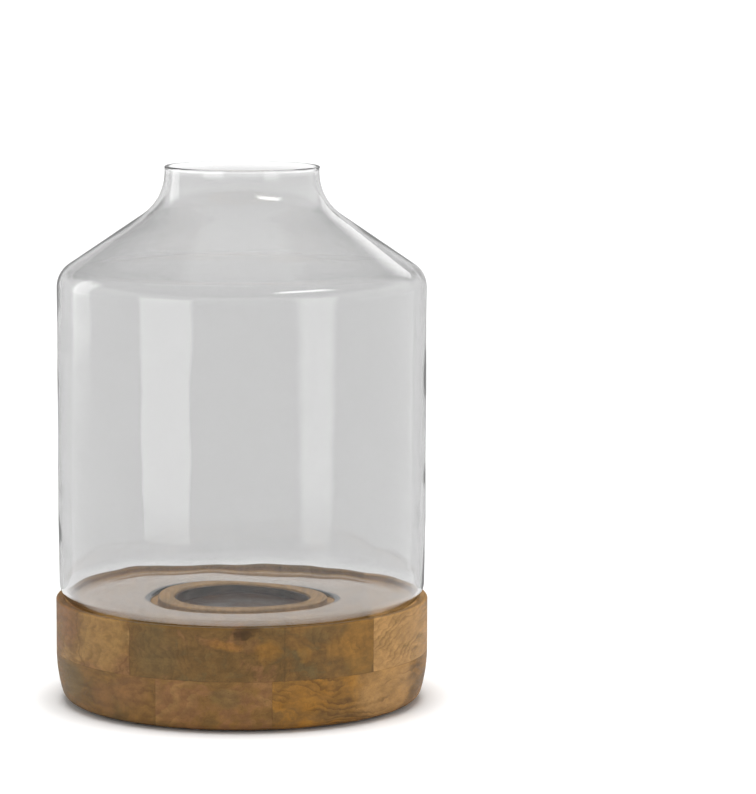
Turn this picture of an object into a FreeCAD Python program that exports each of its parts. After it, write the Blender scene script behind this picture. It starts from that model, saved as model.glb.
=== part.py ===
"""Hurricane candle lantern: a blown glass shade standing in the recess of a turned, glued-up wooden base.

Frame: origin at the centre of the surface that the lantern stands on, +Z up. Lengths are in millimetres.
The base is glued up from two courses of planks and turned as one blank, so every plank is the part of one
turned body that lies between its glue lines. The planks run front to back, along Y.
"""

import FreeCAD, Part

import math
import os

# ---- driving dimensions ----------------------------------------------------------------------------------
BASE_RADIUS = 100.0
WOOD_HEIGHT = 55.0
OVERALL_HEIGHT = 287.5
FELT_THICKNESS = 1.0

# Turned base
LOWER_COURSE_HEIGHT = 27.0
TOE_ROUND = 7.0
BELLY_ROUND = 80.0  # slow curve from the toe up to the straight side, which starts at the glue line
TOP_EDGE_ROUND = 1.2
SEAT_RADIUS = 95.4  # recess that the glass stands in
SEAT_DEPTH = 4.0
BOSS_RADIUS = 45.5  # ring of wood left standing around the candle
BOSS_EDGE_ROUND = 0.9
SEAT_EDGE_ROUND = 1.0
SEAT_CORNER_ROUND = 1.2
CANDLE_RECESS_RADIUS = 36.4
CANDLE_RECESS_DEPTH = 6.5

# Glue lines between the planks of each course, from left to right
UPPER_GLUE_LINES = (-58.5, 22.0, 68.5)
LOWER_GLUE_LINES = (-45.0, 15.5)

# Glass shade
WALL = 2.2
BODY_RADIUS = 98.9
LOWER_BODY_RADIUS = 98.0  # the body tapers in a little below the taper's height
TAPER_HEIGHT = 98.5
TAPER_ROUND = 100.0
HEEL_ROUND = 12.5
SHOULDER_CORNER_HEIGHT = 230.5  # where the lines of the body and of the shoulder would meet
SHOULDER_ROUND = 13.8
SHOULDER_SLOPE_DEG = 34.1
NECK_RADIUS = 41.0
NECK_ROUND = 28.3
LIP_FLARE = 0.4
FLOOR_HOLE_RADIUS = 49.4  # hole in the glass floor, for the boss
FLOOR_RISE = 0.3  # the floor's underside climbs this much from the foot to the hole
FOOT_BAND_RADIUS = 70.0  # the glass touches the wood from here out to the heel
FOOT_BAND_ROUND = 60.0

# Candle pan
PAN_CLEARANCE = 0.25
PAN_SHEET = 0.6
PAN_HEIGHT = 5.4
PAN_CORNER_ROUND = 1.0

# Felt feet
FELT_RADIUS = 8.0
FELT_CIRCLE_RADIUS = 72.0
FELT_COUNT = 4
FELT_EDGE_ROUND = 0.2

WOOD_BOTTOM = FELT_THICKNESS
WOOD_TOP = WOOD_BOTTOM + WOOD_HEIGHT
COURSE_JOINT = WOOD_BOTTOM + LOWER_COURSE_HEIGHT
SEAT_LEVEL = WOOD_TOP - SEAT_DEPTH
RECESS_LEVEL = WOOD_TOP - CANDLE_RECESS_DEPTH
UP = FreeCAD.Vector(0, 0, 1)
ORIGIN = FreeCAD.Vector(0, 0, 0)


def section_point(radius, height):
    """A point of the half section, which lies in the XZ plane."""
    return FreeCAD.Vector(radius, 0, height)


def line(start, end):
    return Part.LineSegment(start, end).toShape()


def arc_about(centre, radius, start_deg, end_deg):
    """Arc in the section plane. Angles run from +X towards +Z."""
    points = []
    for degrees in (start_deg, (start_deg + end_deg) / 2, end_deg):
        angle = math.radians(degrees)
        points.append(centre + section_point(radius * math.cos(angle), radius * math.sin(angle)))
    return Part.Arc(*points).toShape()


def rounded_path(corners):
    """Edges along (radius, height, corner round) points. The end points' rounds aren't used."""
    points = [section_point(r, z) for r, z, _ in corners]
    edges = []
    reached = points[0]
    for i in range(1, len(corners) - 1):
        corner, round_radius = points[i], corners[i][2]
        back = (points[i - 1] - corner).normalize()
        ahead = (points[i + 1] - corner).normalize()
        half_angle = back.getAngle(ahead) / 2
        if round_radius > 0:
            trim = round_radius / math.tan(half_angle)
            bisector = (back + ahead).normalize()
            middle = corner + bisector * (round_radius / math.sin(half_angle) - round_radius)
            start, end = corner + back * trim, corner + ahead * trim
            if (start - reached).Length > 1e-6:
                edges.append(line(reached, start))
            edges.append(Part.Arc(start, middle, end).toShape())
            reached = end
        else:
            edges.append(line(reached, corner))
            reached = corner
    if (points[-1] - reached).Length > 1e-6:
        edges.append(line(reached, points[-1]))
    return edges


def turned(edges):
    """Solid of revolution about Z from the edges of a closed half section."""
    wire = Part.Wire(Part.__sortEdges__(edges))
    return Part.Face(wire).revolve(ORIGIN, UP, 360)


# ---- wooden base -----------------------------------------------------------------------------------------
def lower_blank():
    """Lower course before it is split into planks: flat underside, toe and belly."""
    belly_centre = section_point(BASE_RADIUS - BELLY_ROUND, COURSE_JOINT)
    drop = LOWER_COURSE_HEIGHT - TOE_ROUND
    reach = math.sqrt((BELLY_ROUND - TOE_ROUND) ** 2 - drop**2)
    toe_centre = belly_centre + section_point(reach, -drop)
    meet_deg = -math.degrees(math.atan2(drop, reach))
    axis_bottom, axis_top = section_point(0, WOOD_BOTTOM), section_point(0, COURSE_JOINT)
    return turned([
        line(axis_bottom, section_point(toe_centre.x, WOOD_BOTTOM)),
        arc_about(toe_centre, TOE_ROUND, -90, meet_deg),
        arc_about(belly_centre, BELLY_ROUND, meet_deg, 0),
        line(section_point(BASE_RADIUS, COURSE_JOINT), axis_top),
        line(axis_top, axis_bottom),
    ])


def upper_blank():
    """Upper course before it is split into planks: rim, glass seat, boss and candle recess."""
    corners = [
        (0, COURSE_JOINT, 0),
        (BASE_RADIUS, COURSE_JOINT, 0),
        (BASE_RADIUS, WOOD_TOP, TOP_EDGE_ROUND),
        (SEAT_RADIUS, WOOD_TOP, SEAT_EDGE_ROUND),
        (SEAT_RADIUS, SEAT_LEVEL, SEAT_CORNER_ROUND),
        (BOSS_RADIUS, SEAT_LEVEL, SEAT_CORNER_ROUND),
        (BOSS_RADIUS, WOOD_TOP, BOSS_EDGE_ROUND),
        (CANDLE_RECESS_RADIUS, WOOD_TOP, BOSS_EDGE_ROUND),
        (CANDLE_RECESS_RADIUS, RECESS_LEVEL, 0),
        (0, RECESS_LEVEL, 0),
        (0, COURSE_JOINT, 0),
    ]
    return turned(rounded_path(corners))


def course(blank, glue_lines):
    """Planks of one course, from left to right: the parts of its blank between the glue lines."""
    outside = BASE_RADIUS + 10
    edges = (-outside, *glue_lines, outside)
    planks = []
    for left, right in zip(edges, edges[1:]):
        block = Part.makeBox(right - left, 2 * outside, WOOD_HEIGHT + 20, FreeCAD.Vector(left, -outside, -10))
        planks.append(blank.common(block))
    return planks


# ---- glass shade -----------------------------------------------------------------------------------------
def glass_corners():
    """Outside of the glass, from the hole in its floor to the lip, as (radius, height, corner round)."""
    slope = math.tan(math.radians(SHOULDER_SLOPE_DEG))
    neck_corner_height = SHOULDER_CORNER_HEIGHT + (BODY_RADIUS - NECK_RADIUS) * slope
    return [
        (FLOOR_HOLE_RADIUS + WALL / 2, SEAT_LEVEL + FLOOR_RISE, 0),
        (FOOT_BAND_RADIUS, SEAT_LEVEL, FOOT_BAND_ROUND),
        (LOWER_BODY_RADIUS, SEAT_LEVEL, HEEL_ROUND),
        (BODY_RADIUS, TAPER_HEIGHT, TAPER_ROUND),
        (BODY_RADIUS, SHOULDER_CORNER_HEIGHT, SHOULDER_ROUND),
        (NECK_RADIUS, neck_corner_height, NECK_ROUND),
        (NECK_RADIUS + LIP_FLARE, OVERALL_HEIGHT - WALL / 2, 0),
    ]


def inset_corners(corners, distance):
    """The same path moved to its left by distance, with each round kept concentric."""
    points = [section_point(r, z) for r, z, _ in corners]
    moved = []
    for i, (radius, height, round_radius) in enumerate(corners):
        directions = []
        if i > 0:
            directions.append((points[i] - points[i - 1]).normalize())
        if i < len(points) - 1:
            directions.append((points[i + 1] - points[i]).normalize())
        normals = [section_point(-d.z, d.x) for d in directions]
        mean = sum(normals[1:], normals[0]).normalize()
        shift = mean * (distance / mean.dot(normals[0]))
        turns_left = 0.0
        if len(directions) == 2:
            turns_left = directions[0].x * directions[1].z - directions[0].z * directions[1].x
        new_round = round_radius - math.copysign(distance, turns_left) if round_radius else 0
        moved.append((radius + shift.x, height + shift.z, new_round))
    return moved


def glass_shade():
    outside = glass_corners()
    inside = inset_corners(outside, WALL)
    outer_start, outer_end = section_point(*outside[0][:2]), section_point(*outside[-1][:2])
    inner_start, inner_end = section_point(*inside[0][:2]), section_point(*inside[-1][:2])
    lip_top = (outer_end + inner_end) * 0.5 + section_point(0, WALL / 2)
    hole_edge = (outer_start + inner_start) * 0.5 + section_point(-WALL / 2, 0)
    edges = rounded_path(outside) + rounded_path(inside)
    edges.append(Part.Arc(outer_end, lip_top, inner_end).toShape())
    edges.append(Part.Arc(outer_start, hole_edge, inner_start).toShape())
    return turned(edges)


# ---- candle pan and felt feet ----------------------------------------------------------------------------
def candle_pan():
    """Pressed sheet-metal pan with a rounded lip, standing in the candle recess."""
    outer = CANDLE_RECESS_RADIUS - PAN_CLEARANCE
    inner = outer - PAN_SHEET
    floor = RECESS_LEVEL + PAN_SHEET
    lip = RECESS_LEVEL + PAN_HEIGHT - PAN_SHEET / 2
    outside = [
        (0, RECESS_LEVEL, 0),
        (outer, RECESS_LEVEL, PAN_CORNER_ROUND),
        (outer, lip, 0),
    ]
    inside = [
        (inner, lip, 0),
        (inner, floor, PAN_CORNER_ROUND - PAN_SHEET),
        (0, floor, 0),
    ]
    lip_arc = arc_about(section_point(outer - PAN_SHEET / 2, lip), PAN_SHEET / 2, 0, 180)
    centre_line = line(section_point(0, floor), section_point(0, RECESS_LEVEL))
    return turned(rounded_path(outside) + [lip_arc] + rounded_path(inside) + [centre_line])


def felt_foot(index):
    angle = math.radians(45 + index * 360 / FELT_COUNT)
    corners = [
        (0, 0, 0),
        (FELT_RADIUS, 0, FELT_EDGE_ROUND),
        (FELT_RADIUS, FELT_THICKNESS, 0),
        (0, FELT_THICKNESS, 0),
        (0, 0, 0),
    ]
    disc = turned(rounded_path(corners))
    disc.translate(FreeCAD.Vector(FELT_CIRCLE_RADIUS * math.cos(angle), FELT_CIRCLE_RADIUS * math.sin(angle), 0))
    return disc


# ---- assembly --------------------------------------------------------------------------------------------
def numbered(name, shapes):
    return {f"{name}_{number}": shape for number, shape in enumerate(shapes, 1)}


def assembly():
    nodes = numbered("lower_plank", course(lower_blank(), LOWER_GLUE_LINES))
    nodes.update(numbered("upper_plank", course(upper_blank(), UPPER_GLUE_LINES)))
    nodes["glass_shade"] = glass_shade()
    nodes["candle_pan"] = candle_pan()
    nodes.update(numbered("felt_foot", [felt_foot(index) for index in range(FELT_COUNT)]))
    return nodes


def main():
    os.makedirs("parts", exist_ok=True)
    for name, shape in assembly().items():
        solid = shape.Solids[0]
        solid.exportStep(os.path.join("parts", name + ".step"))
        box = solid.optimalBoundingBox(False)
        print(
            f"{name}: {len(shape.Solids)} solid, valid {solid.isValid()}, {solid.Volume / 1000:.1f} cm3, "
            f"x {box.XMin:.2f}..{box.XMax:.2f}, z {box.ZMin:.2f}..{box.ZMax:.2f}"
        )


main()
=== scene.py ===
"""Looks of the hurricane lantern: blown glass shade, glued-up turned wood, lacquered pan, felt feet.

The frame gives every place and size in metres. The wood, pan and felt materials work in millimetres along
the frame's own axes.
"""

import math

import bpy
from mathutils import Matrix, Vector, noise


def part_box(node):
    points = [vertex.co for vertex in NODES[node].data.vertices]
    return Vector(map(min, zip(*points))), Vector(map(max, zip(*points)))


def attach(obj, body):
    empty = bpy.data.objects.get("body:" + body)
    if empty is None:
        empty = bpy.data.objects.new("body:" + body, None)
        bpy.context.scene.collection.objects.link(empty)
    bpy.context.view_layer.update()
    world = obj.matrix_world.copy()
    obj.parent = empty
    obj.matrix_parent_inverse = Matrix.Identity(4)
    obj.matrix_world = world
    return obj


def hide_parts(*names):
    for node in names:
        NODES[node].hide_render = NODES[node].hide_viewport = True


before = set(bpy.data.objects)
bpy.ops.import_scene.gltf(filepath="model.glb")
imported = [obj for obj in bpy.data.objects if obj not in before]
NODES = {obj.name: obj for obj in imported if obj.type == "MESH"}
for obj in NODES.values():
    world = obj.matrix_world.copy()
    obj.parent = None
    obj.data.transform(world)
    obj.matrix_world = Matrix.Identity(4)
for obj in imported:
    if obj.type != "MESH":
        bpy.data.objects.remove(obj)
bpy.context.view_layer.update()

MM = 0.001

# ---- sizes that the frame doesn't give, in metres ------------------------------------------------
WALL = 2.2 * MM
HEEL_ROUND = 12.5 * MM
LOWER_BODY_INSET = 0.9 * MM  # the body is this much narrower at the heel
TAPER_HEIGHT = 46.5 * MM  # above the foot
TAPER_ROUND = 100 * MM
SHOULDER_CORNER_DROP = 57 * MM  # below the lip
SHOULDER_ROUND = 13.8 * MM
SHOULDER_SLOPE_DEG = 34.1
NECK_RADIUS = 41.0 * MM
NECK_ROUND = 28.3 * MM
LIP_FLARE = 0.4 * MM
LIP_GAP = 0.05 * MM  # keeps the round lip under the top of the CAD box
FOOT_GAP = 0.06 * MM  # keeps the glass clear of the wood that it stands on
FLOOR_HOLE_RADIUS = 49.4 * MM
FLOOR_RISE = 0.3 * MM
FOOT_BAND_RADIUS = 70 * MM
FOOT_BAND_ROUND = 60 * MM

# ---- camera and studio ---------------------------------------------------------------------------
CAMERA_PLACE = (0.0, -2.02375, 0.41904)
CAMERA_DOWN_DEG = 7.2
CAMERA_SIDE_DEG = 2.0455  # the photo has the lantern left of its middle
CAMERA_LENS_MM = 172.4
FLOOR_RADIUS = 30.0
FLOOR_SIDES = 96
SUN_SPREAD_DEG = 36
SUN_STRENGTH = 2.5


# ---- meshes --------------------------------------------------------------------------------------
def add_object(name, data):
    piece = bpy.data.objects.new(name, data)
    bpy.context.scene.collection.objects.link(piece)
    return piece


def add_mesh(name, points, faces, material, smooth=True):
    mesh = bpy.data.meshes.new(name)
    mesh.from_pydata(points, [], faces)
    mesh.polygons.foreach_set("use_smooth", [smooth] * len(mesh.polygons))
    mesh.materials.append(material)
    mesh.update()
    return add_object(name, mesh)


def lathe(section, segments, place):
    """Points and faces of a closed section of (radius, height, how far outside) points, turned about Z.

    place gives the point for each (radius, angle, height, how far outside).
    """
    points = []
    for radius, height, outside in section:
        for k in range(segments):
            points.append(place(radius, 2 * math.pi * k / segments, height, outside))
    faces = []
    rows = len(section)
    for i in range(rows):
        upper = (i + 1) % rows * segments
        for k in range(segments):
            after = (k + 1) % segments
            faces.append((i * segments + k, i * segments + after, upper + after, upper + k))
    return points, faces


# ---- node trees ----------------------------------------------------------------------------------
class Graph:
    """Short calls that build the node tree of one material, light or world."""

    def __init__(self, owner, output="OutputMaterial"):
        owner.use_nodes = True
        self.owner = owner
        self.tree = owner.node_tree
        self.tree.nodes.clear()
        self.output = self.add(output)

    def add(self, kind, **inputs):
        node = self.tree.nodes.new("ShaderNode" + kind)
        self.feed(node, **inputs)
        return node

    def feed(self, node, **inputs):
        """Sets or links inputs. Underscores in a name stand for spaces, and in1 is the second input."""
        for name, value in inputs.items():
            numbered = name[:2] == "in" and name[2:].isdigit()
            socket = node.inputs[int(name[2:])] if numbered else node.inputs[name.replace("_", " ")]
            if isinstance(value, bpy.types.NodeSocket):
                self.tree.links.new(value, socket)
            else:
                socket.default_value = value

    def math(self, operation, first, second=0.0, third=0.0):
        node = self.add("Math", in0=first, in1=second, in2=third)
        node.operation = operation
        return node.outputs[0]

    def vector(self, operation, first, second=(0, 0, 0), scale=None):
        node = self.tree.nodes.new("ShaderNodeVectorMath")
        node.operation = operation
        self.feed(node, in0=first, in1=second)
        if scale is not None:
            self.feed(node, Scale=scale)
        return node.outputs["Value"] if operation == "LENGTH" else node.outputs["Vector"]

    def noise(self, place, size, detail=2.0, roughness=0.5, colour=False):
        """Noise with features of the given (x, y, z) size."""
        scaled = self.vector("DIVIDE", place, size)
        node = self.add("TexNoise", Vector=scaled, Scale=1.0, Detail=detail, Roughness=roughness)
        return node.outputs["Color" if colour else "Fac"]

    def step(self, value, start, end, low=0.0, high=1.0):
        """Smooth change from low, up to start, to high, from end on."""
        node = self.add("MapRange", Value=value, From_Min=start, From_Max=end, To_Min=low, To_Max=high)
        node.interpolation_type = "SMOOTHSTEP"
        return node.outputs["Result"]

    def blend(self, factor, first, second, kind="MIX"):
        node = self.tree.nodes.new("ShaderNodeMix")
        node.data_type = "RGBA"
        node.blend_type = kind
        node.clamp_factor = True
        self.feed(node, in0=factor, in6=first, in7=second)
        return node.outputs[2]

    def ramp(self, value, stops):
        node = self.add("ValToRGB", Fac=value)
        elements = node.color_ramp.elements
        while len(elements) < len(stops):
            elements.new(0.5)
        for element, (place, colour) in zip(elements, stops):
            element.position = place
            element.color = (*colour, 1.0)
        return node.outputs["Color"]


def linear(red, green, blue):
    """Linear colour from an 8-bit display colour."""
    def channel(value):
        value /= 255
        return value / 12.92 if value <= 0.04045 else ((value + 0.055) / 1.055) ** 2.4
    return channel(red), channel(green), channel(blue)


def rgba(colour):
    return (*colour, 1.0)


def in_millimetres(g):
    """Place in the object's own axes, which are the frame's."""
    return g.vector("SCALE", g.add("TexCoord").outputs["Object"], scale=1000.0)


# ---- wood ----------------------------------------------------------------------------------------
# Sizes in this section are in mm
GLUE_LINES = {"upper": (-58.5, 22.0, 68.5), "lower": (-45.0, 15.5)}
COURSE_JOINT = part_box("lower_plank_1")[1].z / MM
SEAT_RADIUS = 95.4
SEAT_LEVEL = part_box("glass_shade")[0].z / MM
BOSS_EDGE = 47.0  # between the boss, which carries the candle, and the seat round it
# Painted light: shares of paler tan painted on the boss and the seat under the glass. At the front it ends
# further in, which paints shade there.
BOSS_PAINTED_LIGHT = 0.68
SEAT_PAINTED_LIGHT = 0.76
PAINTED_LIGHT_FRONT_INSET = 11.0  # the paleness ends this much further in at the front
GRAIN_BEND = 26.0
PATCH_BEND = 24.0
SEAM_WIDTH = 0.35
SEAM_STRENGTH = (0.1, 0.45)
# Painted shadow: a dark ring on the rim top at the front, along the foot of the glass
RIM_SHADOW_RADIUS = 97.0
RIM_SHADOW_STRENGTH = 0.55
PORE_STRENGTH = 0.3

OLIVE = linear(106, 86, 50)
BROWN = linear(110, 82, 42)
WARM = linear(125, 91, 46)
ROSE = linear(130, 92, 56)
GOLD = linear(146, 104, 44)
AMBER = linear(154, 106, 38)
TAN = linear(152, 117, 67)
# Painted light: the paler tan painted on the recess under the glass
PAINTED_LIGHT_TAN = linear(182, 146, 100)
LIGHT = linear(178, 136, 82)
DARK = linear(66, 46, 22)
KNOT = linear(50, 32, 12)

# Each plank: seed, pith (x, z), ring width, ring strength, tints from one end of the clouds to the other.
# A negative strength draws pale rings.
PLANKS = {
    "upper_plank_1": (10, (-260, 60), 4.2, 0.22, (BROWN, ROSE, WARM, TAN)),
    "upper_plank_2": (150, (-240, 20), 3.6, 0.20, (OLIVE, BROWN, BROWN, ROSE)),
    "upper_plank_3": (150, (250, 70), 3.8, 0.24, (OLIVE, BROWN, WARM, WARM)),
    "upper_plank_4": (420, (150, -30), 3.0, 0.32, (TAN, LIGHT, LIGHT, LIGHT)),
    "lower_plank_1": (560, (-60, 140), 4.6, 0.25, (OLIVE, BROWN, WARM, WARM)),
    "lower_plank_2": (560, (-6, -4), 7.5, -0.45, (BROWN, WARM, ROSE, WARM)),
    "lower_plank_3": (840, (60, 120), 3.2, 0.50, (BROWN, WARM, GOLD, AMBER)),
}

# Local colour in a plank: centre, half sizes, colour, strength, strength of its dark outline
PATCHES = {
    "upper_plank_1": (
        ((-92, -40, 50), (9, 22, 14), ROSE, 0.6, 0.0),
        ((-73, -67, 47), (21, 23, 20), TAN, 0.8, 0.3),
    ),
    "upper_plank_2": (
        ((-45, -90, 42), (14, 16, 16), OLIVE, 0.5, 0.0),
        ((-8, -100, 48), (10, 16, 4), AMBER, 0.4, 0.0),
        ((5, -100, 47.5), (5, 16, 5), ROSE, 0.4, 0.0),
        ((12, -99, 44), (9, 16, 7), AMBER, 0.45, 0.15),
        ((0.4, -100, 55), (12, 7, 2.6), KNOT, 0.7, 0.0),
    ),
    "upper_plank_3": (
        ((32, -94, 42), (5, 14, 6), GOLD, 0.4, 0.0),
        ((40, -92, 54), (9, 12, 4.5), OLIVE, 0.6, 0.0),
        ((54, -84, 46), (14, 16, 10), GOLD, 0.5, 0.0),
        ((64, -77, 44), (15, 22, 22), GOLD, 0.65, 0.0),
    ),
    "lower_plank_1": (
        ((-90, -42, 17), (9, 20, 13), OLIVE, 0.8, 0.0),
        ((-72, -69, 12), (10, 14, 8), ROSE, 0.5, 0.0),
        ((-58, -81, 20), (16, 20, 11), ROSE, 0.6, 0.0),
    ),
    "lower_plank_2": (
        ((-36, -91, 13), (17, 16, 11), ROSE, 0.6, 0.0),
        ((-8, -98, 20), (10, 12, 7), OLIVE, 0.6, 0.0),
    ),
    "lower_plank_3": (
        ((36, -93, 19), (24, 22, 10), AMBER, 0.45, 0.0),
        ((76, -62, 16), (28, 30, 16), LIGHT, 0.75, 0.0),
    ),
}


def distance_from(g, value, level):
    return g.math("ABSOLUTE", g.math("SUBTRACT", value, level))


def ring_lines(g, moved, bent, plank):
    """Growth rings about a pith that runs along the plank. They fade in and out."""
    _, (pith_x, pith_z), width, strength, _ = plank
    from_pith = g.vector("MULTIPLY", g.vector("SUBTRACT", bent, (pith_x, 0, pith_z)), (1, 0, 1))
    phase = g.math("FRACT", g.math("DIVIDE", g.vector("LENGTH", from_pith), width))
    late = g.math("MULTIPLY", g.step(phase, 0.25, 0.9), g.step(phase, 0.92, 1.0, 1.0, 0.0))
    present = g.step(g.noise(moved, (22, 80, 14), 2.0), 0.40, 0.60, 0.1, 1.0)
    return g.math("MULTIPLY", g.math("MULTIPLY", late, present), abs(strength))


def add_patches(g, colour, place, patches):
    for centre, half, tint, strength, outline in patches:
        reach = g.vector("LENGTH", g.vector("DIVIDE", g.vector("SUBTRACT", place, centre), half))
        colour = g.blend(g.step(reach, 0.55, 1.1, strength, 0.0), colour, rgba(tint))
        if outline:
            near = g.step(distance_from(g, reach, 1.02), 0.0, 0.05, outline, 0.0)
            colour = g.blend(near, colour, rgba(DARK))
    return colour


def add_painted_light(g, colour, radius, level, front):
    """Paints light on the turned recess under the glass by making it paler. At the front the painted light
    ends further in and fades, which paints shade there.
    """
    reach = g.math("MULTIPLY_ADD", front, PAINTED_LIGHT_FRONT_INSET, radius)
    within = g.step(reach, SEAT_RADIUS - 1.0, SEAT_RADIUS + 1.8, 1.0, 0.0)
    above = g.step(level, SEAT_LEVEL - 1.5, SEAT_LEVEL - 0.5)
    # painted shade: the painted light fades towards the front of the recess
    fade = g.step(g.math("MULTIPLY", front, radius), 64.0, 88.0, 1.0, 0.25)
    strength = g.step(radius, BOSS_EDGE - 1.0, BOSS_EDGE + 1.0, BOSS_PAINTED_LIGHT, SEAT_PAINTED_LIGHT)
    painted_light = g.math("MULTIPLY", g.math("MULTIPLY", g.math("MULTIPLY", within, above), strength), fade)
    return g.blend(painted_light, colour, rgba(PAINTED_LIGHT_TAN))


def add_seams(g, colour, place, axes, glue_lines):
    """Hairline glue seams, stronger in some places than in others."""
    seam = distance_from(g, axes.outputs["Z"], COURSE_JOINT)
    for x in glue_lines:
        seam = g.math("MINIMUM", seam, distance_from(g, axes.outputs["X"], x))
    strength = g.step(g.noise(place, (9, 9, 9), 2.0), 0.4, 0.6, *SEAM_STRENGTH)
    seam = g.math("MULTIPLY", g.step(seam, 0.0, SEAM_WIDTH, 1.0, 0.0), strength)
    return g.blend(seam, colour, rgba(DARK))


def add_painted_rim_shadow(g, colour, radius, level, front):
    """Painted shadow on top of the rim, at the front, along the foot of the glass."""
    rim_shadow = g.step(distance_from(g, radius, RIM_SHADOW_RADIUS), 1.0, 2.6, RIM_SHADOW_STRENGTH, 0.0)
    high = g.math("MULTIPLY", front, g.step(level, SEAT_LEVEL + 2.0, SEAT_LEVEL + 3.2))
    return g.blend(g.math("MULTIPLY", rim_shadow, high), colour, rgba(DARK))


def wood_material(name):
    plank = PLANKS[name]
    seed, _, _, ring_strength, tints = plank
    g = Graph(bpy.data.materials.new(name))
    place = in_millimetres(g)
    axes = g.add("SeparateXYZ", Vector=place)
    level = axes.outputs["Z"]
    radius = g.vector("LENGTH", g.vector("MULTIPLY", place, (1, 1, 0)))
    front = g.step(axes.outputs["Y"], -40.0, 40.0, 1.0, 0.0)

    # slow noise bends the grain, and the seed gives each plank its own part of the noise
    moved = g.vector("ADD", place, (seed, seed * 0.7, -seed))
    bend = g.vector("SUBTRACT", g.noise(moved, (30, 120, 22), 4.0, 0.6, colour=True), (0.5, 0.5, 0.5))
    bent = g.vector("ADD", place, g.vector("SCALE", bend, scale=GRAIN_BEND))
    along = g.vector("ADD", bent, (seed, 0, 0))

    cloud = g.noise(along, (17, 60, 11), 5.0, 0.66)
    colour = g.ramp(cloud, list(zip((0.34, 0.45, 0.55, 0.66), tints)))
    patch_place = g.vector("ADD", place, g.vector("SCALE", bend, scale=PATCH_BEND))
    colour = add_patches(g, colour, patch_place, PATCHES.get(name, ()))
    # painted light on the recess under the glass, with painted shade at its front
    colour = add_painted_light(g, colour, radius, level, front)
    colour = g.blend(ring_lines(g, moved, bent, plank), colour, rgba(TAN if ring_strength < 0 else DARK))

    # fibres along the plank, mottling and open pores
    fibre = g.noise(along, (0.9, 45, 0.9), 3.0, 0.6)
    mottle = g.noise(moved, (6, 18, 4), 3.0, 0.55)
    shade = g.math("MULTIPLY", g.step(fibre, 0.3, 0.7, 0.88, 1.04), g.step(mottle, 0.3, 0.7, 0.80, 1.10))
    grey = g.add("CombineXYZ", X=shade, Y=shade, Z=shade).outputs[0]
    colour = g.blend(1.0, colour, grey, "MULTIPLY")
    pore = g.step(g.noise(moved, (0.55, 9, 0.55), 1.0, 0.4), 0.66, 0.74)
    colour = g.blend(g.math("MULTIPLY", pore, PORE_STRENGTH), colour, rgba(KNOT))
    colour = add_seams(g, colour, place, axes, GLUE_LINES[name.split("_")[0]])
    # painted shadow on the top of the rim at the front
    colour = add_painted_rim_shadow(g, colour, radius, level, front)

    rough = g.step(fibre, 0.3, 0.7, 0.48, 0.62)
    height = g.math("SUBTRACT", g.math("MULTIPLY", fibre, 0.35), pore)
    bump = g.add("Bump", Height=height, Strength=0.35, Distance=0.15 * MM)
    shader = g.add("BsdfPrincipled", Base_Color=colour, Roughness=rough, Normal=bump.outputs[0])
    g.feed(shader, Specular_IOR_Level=0.2)
    g.feed(g.output, Surface=shader.outputs[0])
    return g.owner


# ---- pan, felt, floor ----------------------------------------------------------------------------
PAN_TINTS = ((0.35, linear(40, 24, 12)), (0.55, linear(62, 42, 25)), (0.7, linear(90, 66, 44)))
FELT_TINTS = ((0.3, linear(38, 33, 29)), (0.7, linear(78, 68, 58)))
FLOOR_GREY = 0.94


def pan_material():
    """Dark brown lacquer over sheet metal, stained and a little scratched."""
    g = Graph(bpy.data.materials.new("pan_metal"))
    place = in_millimetres(g)
    stain = g.noise(place, (14, 14, 6), 4.0, 0.6)
    scratch = g.noise(place, (16, 0.5, 4), 2.0, 0.7)
    rough = g.math("ADD", g.step(stain, 0.3, 0.7, 0.26, 0.42), g.math("MULTIPLY", scratch, 0.1))
    height = g.math("ADD", stain, g.math("MULTIPLY", scratch, 0.2))
    bump = g.add("Bump", Height=height, Strength=0.3, Distance=0.2 * MM)
    shader = g.add("BsdfPrincipled", Base_Color=g.ramp(stain, PAN_TINTS), Metallic=0.2)
    g.feed(shader, Roughness=rough, Normal=bump.outputs[0])
    g.feed(g.output, Surface=shader.outputs[0])
    return g.owner


def felt_material():
    g = Graph(bpy.data.materials.new("felt"))
    fuzz = g.noise(in_millimetres(g), (0.5, 0.5, 0.5), 4.0, 0.7)
    bump = g.add("Bump", Height=fuzz, Strength=0.8, Distance=0.3 * MM)
    shader = g.add("BsdfPrincipled", Base_Color=g.ramp(fuzz, FELT_TINTS), Roughness=0.95)
    g.feed(shader, Normal=bump.outputs[0])
    g.feed(shader, Sheen_Weight=0.4, Sheen_Roughness=0.5, Specular_IOR_Level=0.1)
    g.feed(g.output, Surface=shader.outputs[0])
    return g.owner


def floor_material():
    g = Graph(bpy.data.materials.new("floor"))
    colour = rgba((FLOOR_GREY,) * 3)
    shader = g.add("BsdfPrincipled", Base_Color=colour, Roughness=1.0, Specular_IOR_Level=0.0)
    g.feed(g.output, Surface=shader.outputs[0])
    return g.owner


# ---- glass ---------------------------------------------------------------------------------------
GLASS_SEGMENTS = 300
POINT_SPACING = 3.0 * MM
ARC_POINT_SPACING = 1.0 * MM
WAVE_DEPTH = 0.34 * MM
WAVE_WIDTH = 44 * MM
WAVE_HEIGHT = 26 * MM
# Grey of the glass wall by height above the table, in mm. The glass is tinted grey, and its changes by
# height are painted light and shade that make the foot, cone, neck and lip lighter or darker than the
# body.
GLASS_TINTS_AND_PAINTED_SHADE = (
    (0, 0.97), (54, 0.97), (62, 0.675), (222, 0.675), (238, 0.775), (270, 0.73), (283, 0.68), (286, 0.9),
)


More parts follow.
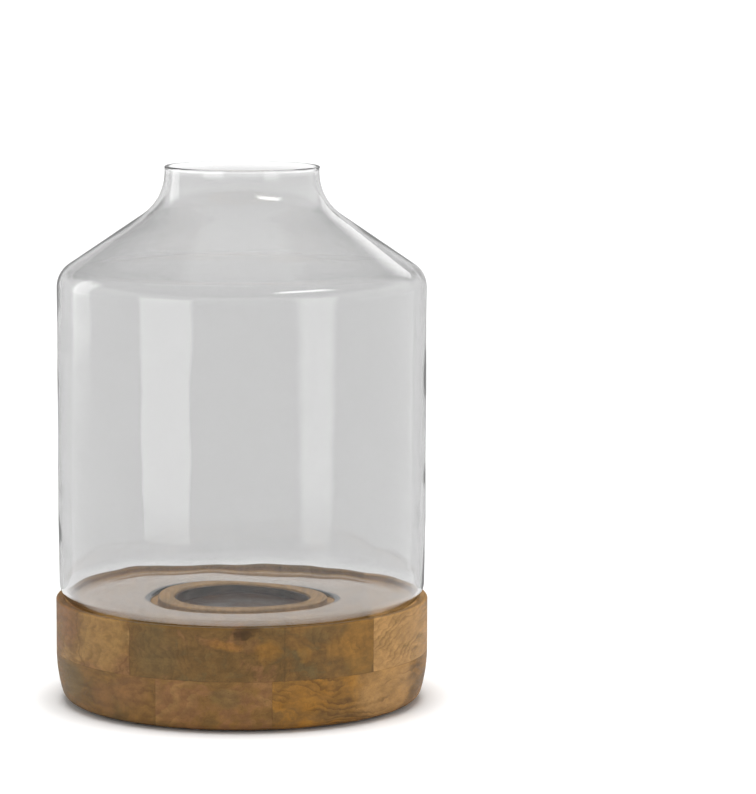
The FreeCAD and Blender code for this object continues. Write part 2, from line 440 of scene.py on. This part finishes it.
def glass_material():
    g = Graph(bpy.data.materials.new("clear_glass"))
    height = g.add("SeparateXYZ", Vector=g.add("TexCoord").outputs["Object"]).outputs["Z"]
    full_height = GLASS_TINTS_AND_PAINTED_SHADE[-1][0] * MM
    stops = [(z * MM / full_height, (grey,) * 3) for z, grey in GLASS_TINTS_AND_PAINTED_SHADE]
    # the grey tint, with painted light and shade by height
    tint = g.ramp(g.math("DIVIDE", height, full_height), stops)
    shader = g.add("BsdfPrincipled", Base_Color=tint, Roughness=0.0, IOR=1.5)
    g.feed(shader, Transmission_Weight=1.0)
    g.feed(g.output, Surface=shader.outputs[0])
    return g.owner


def stretch(start, end, spacing):
    """Points from start up to, but not at, end."""
    count = max(1, round((end - start).length / spacing))
    return [start.lerp(end, i / count) for i in range(count)]


def rounded(corners, spacing, arc_spacing):
    """Points along a line through (radius, height, round) corners. The end points' rounds aren't used."""
    reached = Vector(corners[0][:2])
    points = []
    for i in range(1, len(corners) - 1):
        corner = Vector(corners[i][:2])
        back = (Vector(corners[i - 1][:2]) - corner).normalized()
        ahead = (Vector(corners[i + 1][:2]) - corner).normalized()
        half = back.angle(ahead) / 2
        size = corners[i][2]
        middle = corner + (back + ahead).normalized() * (size / math.sin(half))
        start = corner + back * (size / math.tan(half))
        sweep = (start - middle).angle_signed(corner + ahead * (size / math.tan(half)) - middle)
        points += stretch(reached, start, spacing)
        steps = max(8, round(abs(sweep) * size / arc_spacing))
        for k in range(steps):
            spoke = start - middle
            spoke.rotate(Matrix.Rotation(-sweep * k / steps, 2))
            points.append(middle + spoke)
        reached = corner + ahead * (size / math.tan(half))
    points += stretch(reached, Vector(corners[-1][:2]), spacing)
    points.append(Vector(corners[-1][:2]))
    return points


def glass_corners():
    low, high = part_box("glass_shade")
    radius, foot, lip = high.x, low.z + FOOT_GAP, high.z
    shoulder = lip - SHOULDER_CORNER_DROP
    neck = shoulder + (radius - NECK_RADIUS) * math.tan(math.radians(SHOULDER_SLOPE_DEG))
    return [
        (FLOOR_HOLE_RADIUS + WALL / 2, foot + FLOOR_RISE, 0),
        (FOOT_BAND_RADIUS, foot, FOOT_BAND_ROUND),
        (radius - LOWER_BODY_INSET, foot, HEEL_ROUND),
        (radius, foot + TAPER_HEIGHT, TAPER_ROUND),
        (radius, shoulder, SHOULDER_ROUND),
        (NECK_RADIUS, neck, NECK_ROUND),
        (NECK_RADIUS + LIP_FLARE, lip - WALL / 2 - LIP_GAP, 0),
    ]


def glass_section():
    """Closed (radius, height, how far outside) section: up the outside, over the lip, down the inside."""
    outside = rounded(glass_corners(), POINT_SPACING, ARC_POINT_SPACING)
    normals = []
    for i in range(len(outside)):
        before, after = outside[max(i - 1, 0)], outside[min(i + 1, len(outside) - 1)]
        along = (after - before).normalized()
        normals.append(Vector((-along.y, along.x)))
    inside = [p + n * WALL for p, n in zip(outside, normals)]
    section = [(p.x, p.y, 1.0) for p in outside]
    section += half_round(outside[-1], inside[-1])
    section += [(p.x, p.y, 0.0) for p in reversed(inside)]
    section += half_round(inside[0], outside[0])
    return section


def half_round(start, end, steps=10):
    """Points between start and end along the half circle that joins them, turning left."""
    middle = (start + end) / 2
    points = []
    for k in range(1, steps):
        spoke = start - middle
        spoke.rotate(Matrix.Rotation(math.pi * k / steps, 2))
        p = middle + spoke
        points.append((p.x, p.y, 0.5))
    return points


def blown(radius, angle, height, outside):
    """A point of the glass, with the slow waves of a blown wall, which move it mostly into the wall."""
    around = Vector((math.sin(angle), -math.cos(angle), 0.0))
    at = around * (radius / WAVE_WIDTH) + Vector((0.0, 0.0, height / WAVE_HEIGHT))
    slow = noise.noise(at + Vector((3.1, 7.7, outside * 11.0)))
    quick = noise.noise(at * 2.3 + Vector((9.4, 1.2, outside * 5.0)))
    wave = WAVE_DEPTH * (0.6 + 0.8 * slow + 0.2 * quick)
    shift = -wave if outside > 0.75 else wave * 0.5
    p = around * (radius + shift)
    p.z = height
    return p


def make_glass():
    points, faces = lathe(glass_section(), GLASS_SEGMENTS, blown)
    glass = add_mesh("shade_glass", points, faces, glass_material())
    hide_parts("glass_shade")
    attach(glass, "shade")
    glass.visible_shadow = False


# ---- felt feet -----------------------------------------------------------------------------------
FOOT_SEGMENTS = 64
FOOT_SHARE = 0.995  # of the CAD foot's radius
FOOT_RAGGEDNESS = 0.012
# Section of a foot from the middle of its underside, as shares of its radius and thickness
FOOT_SECTION = (
    (0.0, 0.02), (0.6, 0.0), (0.93, 0.02), (0.985, 0.14),
    (1.0, 0.35), (0.995, 0.7), (0.985, 1.0), (0.0, 1.0),
)


def make_foot(number, material):
    low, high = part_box(f"felt_foot_{number}")
    centre = (low + high) / 2
    radius, thick = (high.x - low.x) / 2, high.z - low.z
    section = [(radius * share * FOOT_SHARE, low.z + thick * level, 1.0) for share, level in FOOT_SECTION]

    def place(r, angle, height, _):
        ragged = noise.noise(Vector((math.cos(angle) * 4, math.sin(angle) * 4, height * 900 + number)))
        reach = r * (1.0 - FOOT_RAGGEDNESS * abs(ragged) * (r / radius))
        return centre.x + reach * math.cos(angle), centre.y + reach * math.sin(angle), height

    points, faces = lathe(section, FOOT_SEGMENTS, place)
    foot = add_mesh(f"felt_disc_{number}", points, faces, material)
    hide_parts(f"felt_foot_{number}")
    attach(foot, "base")


# ---- studio --------------------------------------------------------------------------------------
def make_camera():
    camera = add_object("camera", bpy.data.cameras.new("camera"))
    camera.data.lens = CAMERA_LENS_MM
    tilt = Matrix.Rotation(math.radians(90 - CAMERA_DOWN_DEG), 4, "X")
    turn = Matrix.Rotation(-math.radians(CAMERA_SIDE_DEG), 4, "Y")
    camera.matrix_world = Matrix.Translation(CAMERA_PLACE) @ tilt @ turn
    bpy.context.scene.camera = camera


def make_floor():
    angles = [2 * math.pi * k / FLOOR_SIDES for k in range(FLOOR_SIDES)]
    points = [(FLOOR_RADIUS * math.cos(a), FLOOR_RADIUS * math.sin(a), 0.0) for a in angles]
    floor = add_mesh("floor", points, [tuple(range(FLOOR_SIDES))], floor_material(), smooth=False)


WHITE = (1.0, 1.0, 1.0, 1.0)
# Brightness of the sky by the sine of the height angle
SKY = ((0.0, 1.2), (0.34, 1.2), (0.5, 0.45), (0.72, 0.42), (1.0, 0.48))
FLAG_DEPTH = 0.8  # share of the sky's light that the flags take away


def make_sky():
    """White round the horizon and grey above. Two dark flags behind draw the edges of the glass cone."""
    world = bpy.data.worlds.new("studio")
    bpy.context.scene.world = world
    g = Graph(world, "OutputWorld")
    way = g.add("SeparateXYZ", Vector=g.add("TexCoord").outputs["Generated"])
    brightest = max(value for _, value in SKY)
    shade = g.ramp(way.outputs["Z"], [(place, (value / brightest,) * 3) for place, value in SKY])
    aside = g.math("ABSOLUTE", way.outputs["X"])
    flag = g.math("MULTIPLY", g.step(aside, 0.20, 0.30), g.step(aside, 0.55, 0.75, 1.0, 0.0))
    flag = g.math("MULTIPLY", flag, g.step(way.outputs["Y"], 0.0, 0.1))
    flag = g.math("MULTIPLY", flag, g.step(way.outputs["Z"], 0.16, 0.24, 0.0, FLAG_DEPTH))
    strength = g.math("MULTIPLY_ADD", flag, -brightest, brightest)
    background = g.add("Background", Color=shade, Strength=strength)
    g.feed(g.output, Surface=background.outputs[0])


def make_sun():
    """Soft light from straight above, for the floor and the wood."""
    light = bpy.data.lights.new("top_light", "SUN")
    light.angle = math.radians(SUN_SPREAD_DEG)
    light.energy = SUN_STRENGTH
    sun = add_object("top_light", light)
    sun.visible_camera = False
    sun.visible_glossy = False
    sun.visible_transmission = False


def soften(light, edge, taper):
    """Fades a light over the given (across, up) shares from its edges. Its foot is narrower by taper."""
    g = Graph(light, "OutputLight")
    where = g.add("SeparateXYZ", Vector=g.add("NewGeometry").outputs["Parametric"])
    across = g.math("PINGPONG", where.outputs["X"], 0.5)
    up = g.math("PINGPONG", where.outputs["Y"], 0.5)
    dark_edge = g.math("MULTIPLY_ADD", where.outputs["Y"], -taper, taper)
    fade = g.math("MULTIPLY", g.step(across, dark_edge, edge[0] + taper), g.step(up, 0.0, edge[1]))
    glow = g.add("Emission", Color=WHITE, Strength=fade)
    g.feed(g.output, Surface=glow.outputs[0])


def make_panel(name, azimuth, distance, width, bottom, top, radiance, edge, taper):
    """Soft box seen only in reflections. Azimuth 0 is on the camera's side, and 90 is to the right."""
    light = bpy.data.lights.new(name, "AREA")
    light.shape = "RECTANGLE"
    light.size = width
    light.size_y = top - bottom
    light.energy = radiance * math.pi * width * (top - bottom)
    soften(light, edge, taper)
    panel = add_object(name, light)
    angle = math.radians(azimuth)
    panel.location = (distance * math.sin(angle), -distance * math.cos(angle), (bottom + top) / 2)
    aim = Vector((0, 0, panel.location.z)) - panel.location
    panel.rotation_mode = "QUATERNION"
    panel.rotation_quaternion = aim.to_track_quat("-Z", "Y")
    panel.visible_camera = False
    panel.visible_diffuse = False
    panel.visible_transmission = False


PANELS = (
    # name, azimuth, distance, width, bottom, top, radiance, soft edges across and up, taper
    ("left_box", -43, 0.43, 0.295, 0.004, 0.32, 2.6, (0.04, 0.25), 0.12),
    ("right_box", 42, 0.43, 0.275, 0.004, 0.354, 2.4, (0.10, 0.25), 0.22),
    ("key", 44, 0.95, 0.95, 0.90, 1.20, 12.0, (0.35, 0.4), 0.0),
    ("back_left", -114, 1.0, 0.44, 0.00, 0.9, 2.2, (0.2, 0.3), 0.0),
    ("back_right", 150, 1.0, 0.60, 0.00, 0.9, 1.8, (0.3, 0.3), 0.0),
)


# Card behind the glass. It is grey in its middle and turns lighter towards its sides.
CARD_BACK = 0.25
CARD_REACH = 0.40
CARD_HEIGHT = 0.34
CARD_GREY, CARD_GREY_TO = 0.45, 0.15
CARD_LIGHT, CARD_LIGHT_FROM = 0.9, 0.40


def make_card():
    """Card seen only in reflections, where its grey draws the outline of the glass."""
    g = Graph(bpy.data.materials.new("card"))
    place = g.add("SeparateXYZ", Vector=g.add("TexCoord").outputs["Object"])
    aside = g.math("ABSOLUTE", place.outputs["X"])
    strength = g.step(aside, CARD_GREY_TO, CARD_LIGHT_FROM, CARD_GREY, CARD_LIGHT)
    glow = g.add("Emission", Color=WHITE, Strength=strength)
    g.feed(g.output, Surface=glow.outputs[0])
    foot = [(-CARD_REACH, CARD_BACK, 0.0), (CARD_REACH, CARD_BACK, 0.0)]
    head = [(CARD_REACH, CARD_BACK, CARD_HEIGHT), (-CARD_REACH, CARD_BACK, CARD_HEIGHT)]
    card = add_mesh("card", foot + head, [(0, 1, 2, 3)], g.owner, smooth=False)
    card.visible_camera = False
    card.visible_diffuse = False
    card.visible_transmission = False
    card.visible_shadow = False


def main():
    bpy.context.scene.view_settings.view_transform = "Standard"
    make_camera()
    make_floor()
    make_sky()
    make_sun()
    make_card()
    for panel in PANELS:
        make_panel(*panel)
    make_glass()
    felt = felt_material()
    for number in range(1, 5):
        make_foot(number, felt)
    for name in PLANKS:
        NODES[name].material_slots[0].material = wood_material(name)
    NODES["candle_pan"].material_slots[0].material = pan_material()


main()
